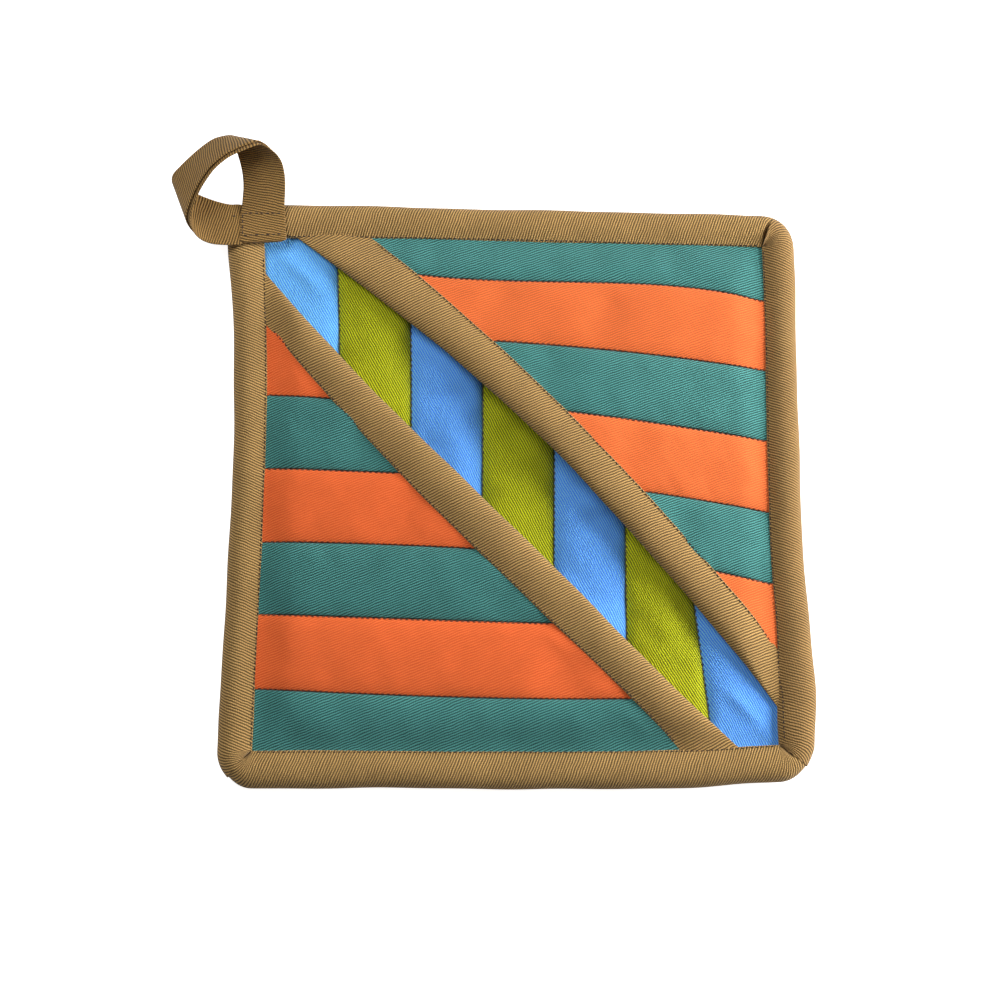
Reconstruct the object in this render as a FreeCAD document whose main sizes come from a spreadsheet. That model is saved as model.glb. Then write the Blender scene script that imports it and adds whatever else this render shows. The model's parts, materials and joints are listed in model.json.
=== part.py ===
"""A quilted square pot mitt with two corner hand pockets, bound edges and a hanging loop.

Frame: millimetres, +Z up, the pad lies on its back, origin at the middle of the back face.
The loop corner is at -X +Y. The finger pocket fills the +X +Y corner, the thumb pocket the -X -Y one.
The pad folds along the diagonal between the pocket mouths, so every layer that crosses it is in two halves.
Each pocket is sewn along two legs. It opens as a tent: an end panel turns on the leg along X,
and a side panel turns on the ridge between them.
"""

import FreeCAD, Part
import os

import Sketcher

doc = FreeCAD.newDocument("CornerPocketPotMitt")
sheet = doc.addObject("Spreadsheet::Sheet", "Sizes")

STRIPS = 7
STRIPES = 6

SIZES = [
    # the pad and its edge binding
    ("strip_width", 25.4),
    ("binding_width", 12.0),
    ("binding_height", 8.0),
    ("corner_radius", 12.0),
    ("tape_thickness", 0.6),
    ("back_thickness", 1.2),
    ("heat_layer_thickness", 1.0),
    ("batting_thickness", 3.0),
    ("face_thickness", 0.6),
    ("layer_clearance", 0.3),
    ("fold_gap", 0.3),
    # both pockets
    ("pocket_clearance", 0.3),
    ("leg_clearance", 0.8),
    ("ridge_gap", 0.1),
    ("lining_thickness", 0.6),
    ("pocket_batting_thickness", 1.8),
    ("stripe_thickness", 0.6),
    ("mouth_band_width", 12.5),
    ("mouth_band_stand", 0.2),
    # how far each mouth lies from the fold, in its middle and at its tips, and how high it lifts
    ("finger_mouth_middle", 22.0),
    ("finger_mouth_tip", 12.5),
    ("finger_mouth_lift", 8.0),
    ("finger_first_stripe", 19.0),
    ("finger_stripe_width", 24.8),
    ("finger_stripe_tilt", 5.5),
    ("thumb_mouth_middle", 8.4),
    ("thumb_mouth_tip", 7.2),
    ("thumb_mouth_lift", 6.5),
    ("thumb_first_stripe", 22.6),
    ("thumb_stripe_width", 25.5),
    ("thumb_stripe_tilt", 2.0),
    # the hanging loop, a tape that runs on from the top binding and comes back to it
    ("loop_tape_width", 13.5),
    ("loop_tape_thickness", 1.6),
    ("loop_reach", 14.0),
    ("loop_height", 24.0),
    ("loop_rise", 11.0),
    ("sewn_end_inset", 12.7),
    ("sewn_end_length", 11.0),
    # sewing thread
    ("thread_width", 0.5),
    ("thread_height", 0.3),
    ("thread_inset", 0.5),
    ("box_stitch_inset", 1.2),
]

for row, (alias, value) in enumerate(SIZES, start=1):
    sheet.set(f"A{row}", alias)
    sheet.set(f"B{row}", str(value))
    sheet.setAlias(f"B{row}", alias)
doc.recompute()

layout = doc.addObject("App::VarSet", "Layout")


def derive(name, formula):
    """A value worked out from the driving sizes, kept in the document for the pieces to use."""
    layout.addProperty("App::PropertyFloat", name, "Derived")
    layout.setExpression(name, formula)
    return f"Layout.{name}"


def size(name):
    return f"Sizes.{name}"


# Heights of the layers, and the three squares that everything is set out from.
HALF_INNER = derive("half_inner", f"{size('strip_width')} * {STRIPS} / 2")
HALF_OUTER = derive("half_outer", f"{HALF_INNER} + {size('binding_width')}")
HALF_LAYER = derive(
    "half_layer", f"{HALF_OUTER} - {size('tape_thickness')} - {size('layer_clearance')}"
)
REACH = derive("reach", f"3 * {HALF_OUTER}")
HEAT_BOTTOM = derive("heat_bottom", size("back_thickness"))
BATTING_BOTTOM = derive(
    "batting_bottom", f"{HEAT_BOTTOM} + {size('heat_layer_thickness')}"
)
FACE_BOTTOM = derive(
    "face_bottom", f"{BATTING_BOTTOM} + {size('batting_thickness')}"
)
FACE_TOP = derive("face_top", f"{FACE_BOTTOM} + {size('face_thickness')}")
POCKET_CORNER = derive("pocket_corner", f"{HALF_INNER} - {size('leg_clearance')}")
LINING_BOTTOM = derive(
    "lining_bottom",
    f"{FACE_TOP} + {size('pocket_clearance')} + {size('tape_thickness')}",
)
POCKET_THICKNESS = derive(
    "pocket_thickness",
    f"{size('lining_thickness')} + {size('pocket_batting_thickness')} + {size('stripe_thickness')}",
)

nodes = {}


def node(name, shape):
    """Marks a finished sub-part: its Label is its name and its file."""
    shape.Label = name
    nodes[name] = shape
    return shape


def place(piece, x, y, z, axis=(0, 0, 1), angle="0"):
    """Binds a piece's place, and its turn about one fixed axis, to formulas."""
    turn = FreeCAD.Rotation(FreeCAD.Vector(*axis), 1)
    piece.Placement = FreeCAD.Placement(FreeCAD.Vector(), turn)
    piece.setExpression("Placement.Base.x", x)
    piece.setExpression("Placement.Base.y", y)
    piece.setExpression("Placement.Base.z", z)
    piece.setExpression("Placement.Rotation.Angle", angle)


def block(name, length, width, height):
    piece = doc.addObject("Part::Box", name)
    piece.setExpression("Length", length)
    piece.setExpression("Width", width)
    piece.setExpression("Height", height)
    return piece


def common(name, *shapes):
    piece = doc.addObject("Part::MultiCommon", name)
    piece.Shapes = list(shapes)
    return piece


def fuse(name, *shapes):
    piece = doc.addObject("Part::MultiFuse", name)
    piece.Shapes = list(shapes)
    return piece


def whole(name, body):
    """A body on its own, wrapped so that it can be turned with the rest of its pocket."""
    piece = doc.addObject("Part::Compound", name)
    piece.Links = [body]
    return piece


def cut(name, base, tool):
    piece = doc.addObject("Part::Cut", name)
    piece.Base = base
    piece.Tool = tool
    return piece


def pattern(body, name, corners, bottom):
    """A sketch of straight edges, each corner held by two distances from the body's origin."""
    sketch = body.newObject("Sketcher::SketchObject", name)
    flat = [f for f in body.Origin.OriginFeatures if f.Role == "XY_Plane"][0]
    sketch.AttachmentSupport = [(flat, "")]
    sketch.MapMode = "FlatFace"
    sketch.setExpression("AttachmentOffset.Base.z", bottom)
    count = len(corners)
    start = FreeCAD.Vector(10, 0, 0)
    turn = FreeCAD.Vector(0, 0, 1)
    ring = [
        FreeCAD.Rotation(turn, 360.0 * i / count + 10).multVec(start)
        for i in range(count)
    ]
    for i in range(count):
        sketch.addGeometry(Part.LineSegment(ring[i], ring[(i + 1) % count]), False)
    for i in range(count):
        sketch.addConstraint(
            Sketcher.Constraint("Coincident", i, 2, (i + 1) % count, 1)
        )
    for i, corner in enumerate(corners):
        for kind, formula in zip(("DistanceX", "DistanceY"), corner):
            held = sketch.addConstraint(Sketcher.Constraint(kind, -1, 1, i, 1, 1.0))
            sketch.setExpression(f"Constraints[{held}]", formula)
    return sketch


def pad(body, name, corners, bottom, thickness):
    sketch = pattern(body, f"{name}_pattern", corners, bottom)
    feature = body.newObject("PartDesign::Pad", f"{name}_pad")
    feature.Profile = sketch
    feature.setExpression("Length", thickness)
    return feature


def square(half):
    return [
        (f"-{half}", f"-{half}"),
        (half, f"-{half}"),
        (half, half),
        (f"-{half}", half),
    ]


def round_three_corners(body, feature, radius):
    """Rounds the upright corner edges, but for the loop corner, where the tape runs straight on."""
    doc.recompute()
    upright = []
    for i, edge in enumerate(feature.Shape.Edges, start=1):
        low, high = edge.BoundBox.Center, edge.BoundBox
        standing = high.ZLength > 0.1 and high.XLength + high.YLength < 0.01
        outer = abs(low.x) + abs(low.y) > 2 * layout.half_inner
        if standing and outer and not (low.x < 0 < low.y):
            upright.append(f"Edge{i}")
    fillet = body.newObject("PartDesign::Fillet", f"{body.Name}_corners")
    fillet.Base = (feature, upright)
    fillet.setExpression("Radius", radius)
    return fillet


def square_layer(name, half, bottom, thickness, radius):
    """A whole layer of the pad before it is cut along the fold."""
    body = doc.addObject("PartDesign::Body", name)
    feature = pad(body, name, square(half), bottom, thickness)
    round_three_corners(body, feature, radius)
    return body


# Half spaces: the two sides of the fold, and the two sides of the other diagonal, for the mitres.
def half_space(name, heading, gap):
    """A block whose one face stands upright through the origin, turned to a compass heading."""
    piece = block(name, REACH, f"2 * {REACH}", REACH)
    x = f"{gap} / 2 * cos({heading}) + {REACH} * sin({heading})"
    y = f"{gap} / 2 * sin({heading}) - {REACH} * cos({heading})"
    place(piece, x, y, f"-{REACH} / 2", angle=f"{heading}")
    return piece


FOLD_SIDES = {
    "finger_side": half_space("FingerHalfSpace", 45, size("fold_gap")),
    "thumb_side": half_space("ThumbHalfSpace", 225, size("fold_gap")),
}
UPPER_LEFT = half_space("UpperLeftHalfSpace", 135, size("layer_clearance"))
LOWER_RIGHT = half_space("LowerRightHalfSpace", 315, size("layer_clearance"))

# The pad's layers. The back cloth is rebated round its edge, so the binding lies flush with it.
LAYER_RADIUS = derive(
    "layer_radius",
    f"{size('corner_radius')} - {size('tape_thickness')} - {size('layer_clearance')}",
)
HALF_BACK = derive("half_back", f"{HALF_INNER} - {size('layer_clearance')}")

back_body = doc.addObject("PartDesign::Body", "BackCloth")
back_margin = pad(
    back_body,
    "back_margin",
    square(HALF_LAYER),
    size("tape_thickness"),
    f"{size('back_thickness')} - {size('tape_thickness')}",
)
round_three_corners(back_body, back_margin, LAYER_RADIUS)
pad(back_body, "back_middle", square(HALF_BACK), "0", size("back_thickness"))

heat_body = square_layer(
    "HeatLayer", HALF_LAYER, HEAT_BOTTOM, size("heat_layer_thickness"), LAYER_RADIUS
)
batting_body = square_layer(
    "Batting", HALF_LAYER, BATTING_BOTTOM, size("batting_thickness"), LAYER_RADIUS
)
face_body = square_layer(
    "FaceCloth", HALF_LAYER, FACE_BOTTOM, size("face_thickness"), LAYER_RADIUS
)

for side, half in FOLD_SIDES.items():
    node(f"back_panel_{side}", common(f"Back_{side}", back_body, half))
    node(f"heat_layer_{side}", common(f"Heat_{side}", heat_body, half))
    node(f"base_batting_{side}", common(f"Batting_{side}", batting_body, half))

# The face is pieced from upright strips, blue first and last. The outer two run on under the binding.
for i in range(STRIPS):
    is_first = i == 0
    is_last = i == STRIPS - 1
    margin = f"{HALF_LAYER} - {HALF_INNER}"
    width = size("strip_width") + (f" + {margin}" if is_first or is_last else "")
    strip = block(f"Strip{i + 1}", width, f"2 * {HALF_LAYER}", REACH)
    left = f"-{HALF_LAYER}" if is_first else f"-{HALF_INNER} + {i} * {size('strip_width')}"
    place(strip, left, f"-{HALF_LAYER}", f"-{REACH} / 2")
    colour = "blue" if i % 2 == 0 else "green"
    name = f"{colour}_strip_{i // 2 + 1}"
    for side, half in FOLD_SIDES.items():
        node(f"{name}_{side}", common(f"{name}_{side}_cloth", face_body, strip, half))

# The edge binding: a tape folded round the edge, so its section is a C, in four mitred sides.
binding_block = square_layer(
    "BindingBlock", HALF_OUTER, "0", size("binding_height"), size("corner_radius")
)
HALF_CAVITY = derive("half_cavity", f"{HALF_OUTER} - {size('tape_thickness')}")
cavity_block = square_layer(
    "BindingCavity",
    HALF_CAVITY,
    size("tape_thickness"),
    f"{size('binding_height')} - 2 * {size('tape_thickness')}",
    f"{size('corner_radius')} - {size('tape_thickness')}",
)
window = block(
    "BindingWindow", f"2 * {HALF_INNER}", f"2 * {HALF_INNER}", size("binding_height")
)
place(window, f"-{HALF_INNER}", f"-{HALF_INNER}", "0")
binding_frame = cut(
    "BindingFrame", cut("BindingShell", binding_block, cavity_block), window
)
BINDING_SIDES = {
    "top_binding": ("finger_side", UPPER_LEFT),
    "right_binding": ("finger_side", LOWER_RIGHT),
    "left_binding": ("thumb_side", UPPER_LEFT),
    "bottom_binding": ("thumb_side", LOWER_RIGHT),
}
for name, (side, mitre) in BINDING_SIDES.items():
    node(name, common(f"{name}_tape", binding_frame, FOLD_SIDES[side], mitre))


# The pockets. Both are set out in the +X +Y corner, and the thumb pocket is then turned half round.
def facet(name, tilt_axis, angle):
    """A body whose plane is one panel of the tent: it turns up from its leg by the panel's slope."""
    body = doc.addObject("PartDesign::Body", name)
    place(body, POCKET_CORNER, POCKET_CORNER, LINING_BOTTOM, axis=tilt_axis, angle=angle)
    return body


class Pocket:
    """The named places of one pocket: a is measured from the side leg, b from the end leg."""

    def __init__(self, key):
        self.key = key
        self.first = size(f"{key}_first_stripe")
        self.width = size(f"{key}_stripe_width")
        self.tilt = size(f"{key}_stripe_tilt")
        self.tip = size(f"{key}_mouth_tip")
        middle = size(f"{key}_mouth_middle")
        lift = size(f"{key}_mouth_lift")
        band = size("mouth_band_width")
        third_seam = f"({self.first} + 2 * {self.width})"
        diagonal = f"(2 * {POCKET_CORNER} - sqrt(2) * ({middle} + {band}))"
        # The ridge runs from the pocket's corner to the end of the third stripe seam.
        self.a = derive(
            f"{key}_ridge_a", f"({diagonal} - {third_seam}) / (1 - tan({self.tilt}))"
        )
        self.b = derive(f"{key}_ridge_b", f"{diagonal} - {self.a}")
        self.ridge = derive(f"{key}_ridge", f"sqrt({self.a} ^ 2 + {self.b} ^ 2)")
        self.end_slope = derive(f"{key}_end_slope", f"atan({lift} / {self.b}) / 1 deg")
        self.side_slope = derive(
            f"{key}_side_slope", f"atan({lift} / {self.a}) / 1 deg"
        )

    def corners(self, panel, inset):
        """The triangle of one panel: corner, tip and middle, inset from the mouth's free edge."""
        along = derive(
            f"{self.key}_{panel}_{len(layout.PropertiesList)}",
            f"({self.ridge} + {size('mouth_band_width')} - ({inset})) / {self.ridge}",
        )
        tip = f"-(2 * {POCKET_CORNER} - sqrt(2) * ({self.tip} + {inset}))"
        middle_a = f"-{self.a} * {along}"
        middle_b = f"-{self.b} * {along}"
        gap = size("ridge_gap")
        if panel == "end":
            slope = f"cos({self.end_slope})"
            return [
                (f"-{gap}", "0"),
                (tip, "0"),
                (f"{middle_a} - {gap}", f"{middle_b} / {slope}"),
            ]
        slope = f"cos({self.side_slope})"
        return [
            ("0", f"-{gap}"),
            (f"{middle_a} / {slope}", f"{middle_b} - {gap}"),
            ("0", tip),
        ]

    def layer(self, name, panel, inset, bottom, thickness):
        """One layer of one panel, as flat as it was cut, in the panel's own plane."""
        axis, angle = (
            ((1, 0, 0), f"-{self.end_slope}")
            if panel == "end"
            else ((0, 1, 0), self.side_slope)
        )
        body = facet(f"{self.key}_{panel}_{name}_body", axis, angle)
        pad(
            body,
            f"{self.key}_{panel}_{name}",
            self.corners(panel, inset),
            bottom,
            thickness,
        )
        return body


def stripe_block(pocket, number):
    """An upright block over one stripe. The first and last run on past the pocket."""
    is_first = number == 1
    is_last = number == STRIPES
    lower = f"({pocket.first} + {number - 1} * {pocket.width})"
    depth = pocket.first if is_first else pocket.width
    width = f"{depth} * cos({pocket.tilt})"
    if is_first or is_last:
        width = f"{REACH}"
    drop = lower
    if is_last:
        drop = f"({pocket.first} + {number - 2} * {pocket.width} + {REACH} / cos({pocket.tilt}))"
    piece = block(f"{pocket.key}_stripe_block_{number}", f"2 * {REACH}", width, REACH)
    x = f"{POCKET_CORNER} - {REACH} * cos({pocket.tilt})"
    y = f"{POCKET_CORNER} - {drop} + {REACH} * sin({pocket.tilt})"
    place(piece, x, y, "0", angle=f"-{pocket.tilt}")
    return piece


def build_pocket(key, half_turn):
    pocket = Pocket(key)
    band = size("mouth_band_width")
    tape = size("tape_thickness")
    lining = size("lining_thickness")
    batting = size("pocket_batting_thickness")
    core = f"({lining} + {batting})"
    turn = FreeCAD.Rotation(FreeCAD.Vector(0, 0, 1), half_turn)
    pieces = []
    blocks = [stripe_block(pocket, number) for number in range(1, STRIPES + 1)]
    for panel in ("end", "side"):
        inner = f"{key}_{panel}"
        lining_body = pocket.layer("lining", panel, tape, "0", lining)
        batting_body = pocket.layer("batting", panel, tape, lining, batting)
        stripe_body = pocket.layer(
            "stripes", panel, band, core, size("stripe_thickness")
        )
        for layer, body in (("lining", lining_body), ("batting", batting_body)):
            pieces.append(
                node(f"{key}_{layer}_{panel}", whole(f"{inner}_{layer}_cloth", body))
            )
        # the mouth band: a tape folded over the free edge, round the lining and batting
        outer = pocket.layer(
            "band",
            panel,
            "0",
            f"-{tape}",
            f"{tape} + {POCKET_THICKNESS} + {size('mouth_band_stand')}",
        )
        behind = pocket.layer("band_end", panel, band, f"-{REACH} / 2", REACH)
        filling = pocket.layer("band_core", panel, tape, "0", core)
        folded = cut(f"{inner}_band_folded", cut(f"{inner}_band_strip", outer, behind), filling)
        pieces.append(node(f"{key}_mouth_band_{panel}", folded))
        # the first three stripes cross the ridge, the rest lie on the side panel alone
        on_panel = range(1, 4) if panel == "end" else range(1, STRIPES + 1)
        for number in on_panel:
            cloth = common(f"{inner}_stripe_{number}", stripe_body, blocks[number - 1])
            pieces.append(node(f"{key}_stripe_{number}_{panel}", cloth))
    for piece in pieces:
        piece.Placement = FreeCAD.Placement(FreeCAD.Vector(), turn)


build_pocket("finger", 0)
build_pocket("thumb", 180)

# The sewn end of the loop tape, flat on the top binding, with its box stitch.
sewn_end = block(
    "SewnEnd",
    size("loop_tape_width"),
    size("sewn_end_length"),
    size("loop_tape_thickness"),
)
SEWN_X = derive(
    "sewn_x", f"-{HALF_OUTER} + {size('sewn_end_inset')} - {size('loop_tape_width')} / 2"
)
SEWN_Y = derive("sewn_y", f"{HALF_OUTER} - {size('sewn_end_length')}")
SEWN_TOP = derive("sewn_top", f"{size('binding_height')} + {size('loop_tape_thickness')}")
place(sewn_end, SEWN_X, SEWN_Y, size("binding_height"))
node("loop_sewn_end", sewn_end)


def stitch_frame(name, left, low, wide, tall, bottom):
    """Four rows of thread round a rectangle."""
    thread = size("thread_width")
    rows = [
        (left, low, wide, thread),
        (left, f"{low} + {tall} - {thread}", wide, thread),
        (left, low, thread, tall),
        (f"{left} + {wide} - {thread}", low, thread, tall),
    ]
    pieces = []
    for i, (x, y, length, width) in enumerate(rows):
        row_thread = block(f"{name}_row{i + 1}", length, width, size("thread_height"))
        place(row_thread, x, y, bottom)
        pieces.append(row_thread)
    return fuse(name, *pieces)


inset = size("box_stitch_inset")
node(
    "loop_box_stitch",
    stitch_frame(
        "BoxStitch",
        f"{SEWN_X} + {inset}",
        f"{SEWN_Y} + {inset}",
        f"({size('loop_tape_width')} - 2 * {inset})",
        f"({size('sewn_end_length')} - 2 * {inset})",
        SEWN_TOP,
    ),
)

# Thread in the seams between the strips, and along the inner edge of the binding.
seams = []
for i in range(1, STRIPS):
    seam = block(
        f"Seam{i}", size("thread_width"), f"2 * {HALF_BACK}", size("thread_height")
    )
    x = f"-{HALF_INNER} + {i} * {size('strip_width')} - {size('thread_width')} / 2"
    place(seam, x, f"-{HALF_BACK}", FACE_TOP)
    seams.append(seam)
HALF_THREAD = derive("half_thread", f"{HALF_INNER} + {size('thread_inset')}")
binding_thread = stitch_frame(
    "BindingThread",
    f"-{HALF_THREAD}",
    f"-{HALF_THREAD}",
    f"(2 * {HALF_THREAD})",
    f"(2 * {HALF_THREAD})",
    size("binding_height"),
)
threads = fuse("PadThreads", binding_thread, *seams)
for side, half in FOLD_SIDES.items():
    node(f"pad_stitching_{side}", common(f"Threads_{side}", threads, half))


# The hanging loop: the tape leaves the corner towards -X with its face up, over the end of the left
# binding, curls up and round, and comes back down onto the sewn end. Each station is a share of the
# reach, the height and the rise, then the compass heading and the upward lean of the tape's width.
LOOP_STATIONS = [
    (0.00, 0.00, 0.00, -90, 0),
    (0.52, -0.26, 0.05, -90, 2),
    (0.86, -0.06, 0.20, -74, 30),
    (1.00, 0.25, 0.48, -52, 50),
    (0.90, 0.52, 0.78, -44, 50),
    (0.58, 0.78, 1.00, -38, 46),
    (0.10, 0.94, 1.00, -30, 42),
    (-0.42, 0.98, 0.82, -24, 40),
    (-0.76, 0.88, 0.60, -14, 26),
    (-0.90, 0.66, 0.42, -4, 10),
    (-0.91, 0.36, 0.22, 0, 2),
    (-0.91, 0.02, 0.05, 0, 0),
]


def read(name):
    return sheet.get(name)


def loop_middles(thickness):
    """The middle of the tape at each station."""
    stand = read("layer_clearance")
    floor = read("binding_height") + stand + thickness / 2
    last = len(LOOP_STATIONS) - 1
    middles = []
    for i, (along, up, rise, _, _) in enumerate(LOOP_STATIONS):
        x = -layout.half_outer - along * read("loop_reach")
        y = layout.half_outer + up * read("loop_height")
        z = floor + rise * read("loop_rise")
        if i == 0:
            x = layout.sewn_x - stand
            y = layout.half_outer - read("loop_tape_width") / 2
        if i >= last - 2:
            x = -layout.half_outer + read("sewn_end_inset") * along / LOOP_STATIONS[last][0]
        if i == last:
            y = layout.half_outer + stand
            z = floor - stand
        middles.append(FreeCAD.Vector(x, y, z))
    return middles


def loop_shape():
    width = read("loop_tape_width")
    thickness = read("loop_tape_thickness")
    middles = loop_middles(thickness)
    last = len(middles) - 1
    wires = []
    for i, middle in enumerate(middles):
        heading, lean = LOOP_STATIONS[i][3:]
        across = FreeCAD.Rotation(heading, -lean, 0).multVec(FreeCAD.Vector(1, 0, 0))
        forward = (middles[min(i + 1, last)] - middles[max(i - 1, 0)]).normalize()
        if i == 0:
            forward = FreeCAD.Vector(-1, 0, 0)
        if i == last:
            forward = FreeCAD.Vector(0, -1, 0)
        across = (across - forward * across.dot(forward)).normalize()
        normal = forward.cross(across).normalize()
        half_across = across * (width / 2)
        half_normal = normal * (thickness / 2)
        ring = [
            middle - half_across - half_normal,
            middle + half_across - half_normal,
            middle + half_across + half_normal,
            middle - half_across + half_normal,
        ]
        wires.append(Part.makePolygon(ring + ring[:1]))
    tape = Part.makeLoft(wires, True, True)
    if tape.Volume < 0:
        tape.reverse()
    return tape


doc.recompute()
loop = doc.addObject("Part::Feature", "HangingLoop")
loop.Shape = loop_shape()
node("hanging_loop", loop)

doc.recompute()
failed = [
    thing.Name
    for thing in doc.Objects
    if "Invalid" in thing.State or "Error" in thing.State
]
if failed:
    raise RuntimeError(f"these objects failed: {failed}")
for name, piece in nodes.items():
    if piece.Shape.isNull() or not piece.Shape.isValid() or not piece.Shape.Solids:
        raise RuntimeError(f"{name} has no valid solid")

os.makedirs("parts", exist_ok=True)
for name, piece in nodes.items():
    piece.Shape.exportStep(os.path.join("parts", f"{name}.step"))
print(f"{len(nodes)} sub-parts written")
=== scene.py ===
# %% [markdown]
# # A quilted pot mitt with two corner pockets
#
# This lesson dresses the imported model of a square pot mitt. The mitt is a quilted pad, bound
# round its edge with twill tape. Two striped pockets cover opposite corners, and a tape loop
# stands on a third. Everything is cloth, so each piece is a sheet or a stuffed form that is
# shaped in code, puffed by a short cloth simulation where it is quilted, and then finished
# with modifiers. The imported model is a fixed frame: it gives the sizes and the moving bodies.

import json
import math

import bpy
import numpy as np
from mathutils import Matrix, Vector
from mathutils.bvhtree import BVHTree

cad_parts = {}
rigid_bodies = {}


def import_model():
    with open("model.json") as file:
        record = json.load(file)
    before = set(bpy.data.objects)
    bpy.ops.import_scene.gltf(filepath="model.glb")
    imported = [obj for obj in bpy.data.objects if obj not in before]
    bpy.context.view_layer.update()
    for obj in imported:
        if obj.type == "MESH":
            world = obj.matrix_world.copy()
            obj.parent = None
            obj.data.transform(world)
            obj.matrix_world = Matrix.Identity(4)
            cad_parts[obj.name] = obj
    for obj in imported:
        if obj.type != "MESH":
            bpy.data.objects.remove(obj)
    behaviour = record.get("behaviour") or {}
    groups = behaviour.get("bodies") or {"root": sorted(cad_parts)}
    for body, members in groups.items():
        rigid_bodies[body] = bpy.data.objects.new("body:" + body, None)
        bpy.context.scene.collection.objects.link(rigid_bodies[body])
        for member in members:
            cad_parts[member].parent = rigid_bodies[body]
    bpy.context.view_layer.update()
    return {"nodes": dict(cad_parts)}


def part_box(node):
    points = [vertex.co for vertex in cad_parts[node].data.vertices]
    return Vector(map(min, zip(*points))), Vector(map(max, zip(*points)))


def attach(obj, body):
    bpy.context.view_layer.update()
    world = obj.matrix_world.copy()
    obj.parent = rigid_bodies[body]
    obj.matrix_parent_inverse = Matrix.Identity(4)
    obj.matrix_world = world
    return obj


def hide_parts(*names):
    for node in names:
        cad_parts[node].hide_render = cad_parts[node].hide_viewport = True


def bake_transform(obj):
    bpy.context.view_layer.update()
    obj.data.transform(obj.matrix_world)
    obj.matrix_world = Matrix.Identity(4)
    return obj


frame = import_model()
print("nodes:", len(frame["nodes"]))

# %% [markdown]
# ## Sizes
#
# The pieces are set out in millimetres on the pad as it was drawn: X to the right, Y towards
# the loop, and the origin under the middle. The main sizes are read from the nodes, so the
# cloth follows the frame. What the nodes don't say is written here: how far a channel puffs
# up, the section of a folded tape, and the lines of the mouths and seams.

# %% Sizes from the nodes
MM = 0.001


def reach(node, axis, end=1):
    """One side of a node's box, in millimetres."""
    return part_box(node)[end][axis] / MM


LAST_STRIP = 25.4  # the last blue strip lies beyond the last green one
INNER = reach("green_strip_3_finger_side", 0) + LAST_STRIP  # the window inside the binding
OUTER = reach("right_binding", 0)
STRIPS = 7
STRIP = 2 * INNER / STRIPS
FACE = reach("green_strip_1_finger_side", 2, 0)  # the height of the face's underside
POCKET_CORNER = INNER - 0.8  # the pockets are sewn just inside the binding
print(f"window {INNER:.1f}, outside {OUTER:.1f}, strip {STRIP:.1f}, face at {FACE:.1f} mm")

# %% [markdown]
# ## How the cloth has settled
#
# A sewn pad is never quite square. This one has pulled in along its left side and spread at
# the lower right. Each piece could be drawn crooked, but then the seams would part. Instead,
# everything is drawn square, and a gentle polynomial moves every point to where the cloth has
# settled, so that all pieces stay together.

# %% Settle the drawn pad


def smooth(x):
    """0 before 0, 1 after 1, and an easy curve between."""
    x = np.clip(x, 0, 1)
    return x * x * (3 - 2 * x)


def settle(points):
    """Drawn places (mm) to settled places in the frame (m). Heights stay as they are."""
    points = np.asarray(points, float)
    u, v, z = points[..., 0] / 100, points[..., 1] / 100, points[..., 2]
    dx = 0.7*v - v*v - 1.4*v**3 - 2.0*u - 1.3*u*v + 2.1*u*v*v - 0.8*u*u
    dy = (-1.9*v - 1.2*v*v + 2.6*v**3 - 0.9*u - 1.4*u*v - 0.4*u*v*v
          + 0.2*u*u - 0.7*u*u*v + 0.7*u**3)
    # the right side bulges near its lower end, and its corner has pulled up
    dx = dx + 1.3 * smooth(2.9 * u - 1.6) * np.exp(-((v + 0.52) / 0.22) ** 2)
    dy = dy + 1.0 * smooth(3.1 * u - 1.8) * smooth(-2.5 * v - 1.25)
    return np.stack([points[..., 0] + dx, points[..., 1] + dy, z], -1) * MM


def wander(x, seed, size=1.0):
    """A slow, fixed wobble along a seam, so that no edge is ruler straight."""
    return size * (0.5 * np.sin(x / 23.0 + seed) + 0.3 * np.sin(x / 9.7 + 2.3 * seed)
                   + 0.2 * np.sin(x / 4.9 + 4.1 * seed))


print("the loop's corner settles at", np.round(settle((-OUTER, OUTER, 0)) / MM, 1), "mm")

# %% [markdown]
# ## Two ways to make cloth
#
# A sheet starts as a grid primitive, and each of its points is then moved to its place. Each
# point also keeps its place in the flat cut, as its UV, so the weave runs as it does in real
# cloth. A roll, such as a folded tape, starts as the same grid, is wrapped round until its
# sides meet, and is closed at its ends. A bevelled curve would be quicker, but it has one
# section all along, and a tape's groove, crown and corners change. Solidify gives a sheet its
# thickness.

# %% Sheets


def select_only(piece):
    bpy.ops.object.select_all(action="DESELECT")
    piece.select_set(True)
    bpy.context.view_layer.objects.active = piece


def cloth_grid(name, points, cut):
    """A grid of cloth. points and cut are rows by columns, in metres and in millimetres."""
    rows, columns = points.shape[:2]
    bpy.ops.object.select_all(action="DESELECT")
    bpy.ops.mesh.primitive_grid_add(x_subdivisions=columns - 1, y_subdivisions=rows - 1, size=1)
    piece = bpy.context.active_object
    piece.name = piece.data.name = name
    mesh = piece.data
    mesh.vertices.foreach_set("co", points.reshape(-1).astype(np.float32))
    corner = np.empty(len(mesh.loops), np.int32)
    mesh.loops.foreach_get("vertex_index", corner)
    flat = cut.reshape(-1, 2)[corner]
    mesh.uv_layers[0].data.foreach_set("uv", (flat / 100).reshape(-1).astype(np.float32))
    mesh.update()
    bpy.ops.object.shade_smooth()
    return piece


def modify(piece, kind, **settings):
    """Adds a modifier, sets it and applies it."""
    select_only(piece)
    modifier = piece.modifiers.new(kind.title(), kind)
    for key, value in settings.items():
        setattr(modifier, key, value)
    bpy.ops.object.modifier_apply(modifier=modifier.name)
    return piece


def soften(piece):
    return modify(piece, "SUBSURF", levels=1, render_levels=1)


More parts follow.
